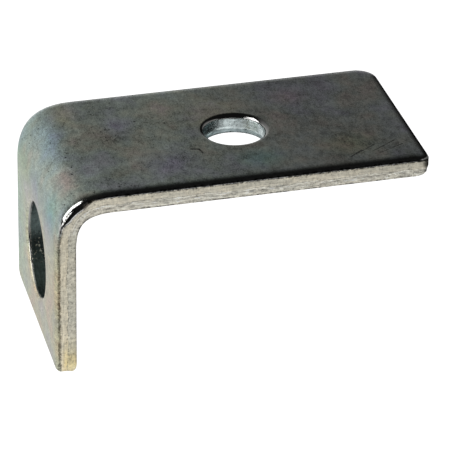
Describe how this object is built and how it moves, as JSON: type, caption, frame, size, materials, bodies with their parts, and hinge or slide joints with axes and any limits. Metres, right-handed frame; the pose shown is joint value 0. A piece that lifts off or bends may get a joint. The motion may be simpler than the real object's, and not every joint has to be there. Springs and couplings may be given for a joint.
{
  "type": "ceiling clip",
  "caption": "Right-angled strip steel clip with a fixing hole in the leg that lies on the ceiling and a larger hanger hole in the leg that hangs down.",
  "frame": {"origin": "centre of the ceiling fixing hole, in the face that lies against the ceiling", "axes": "+Z points at the ceiling, +X along the ceiling leg to its free end, Y across the strip; the hanger leg hangs down at the -X end"},
  "size_m": [0.0455, 0.025, 0.024],
  "materials": {
    "plated_steel": "zinc plated and passivated steel, smoky grey with faint green, pink and blue tints, paler at the bend and on the sheared edges"
  },
  "bodies": {
    "root": {"clip": "plated_steel"}
  },
  "joints": []
}
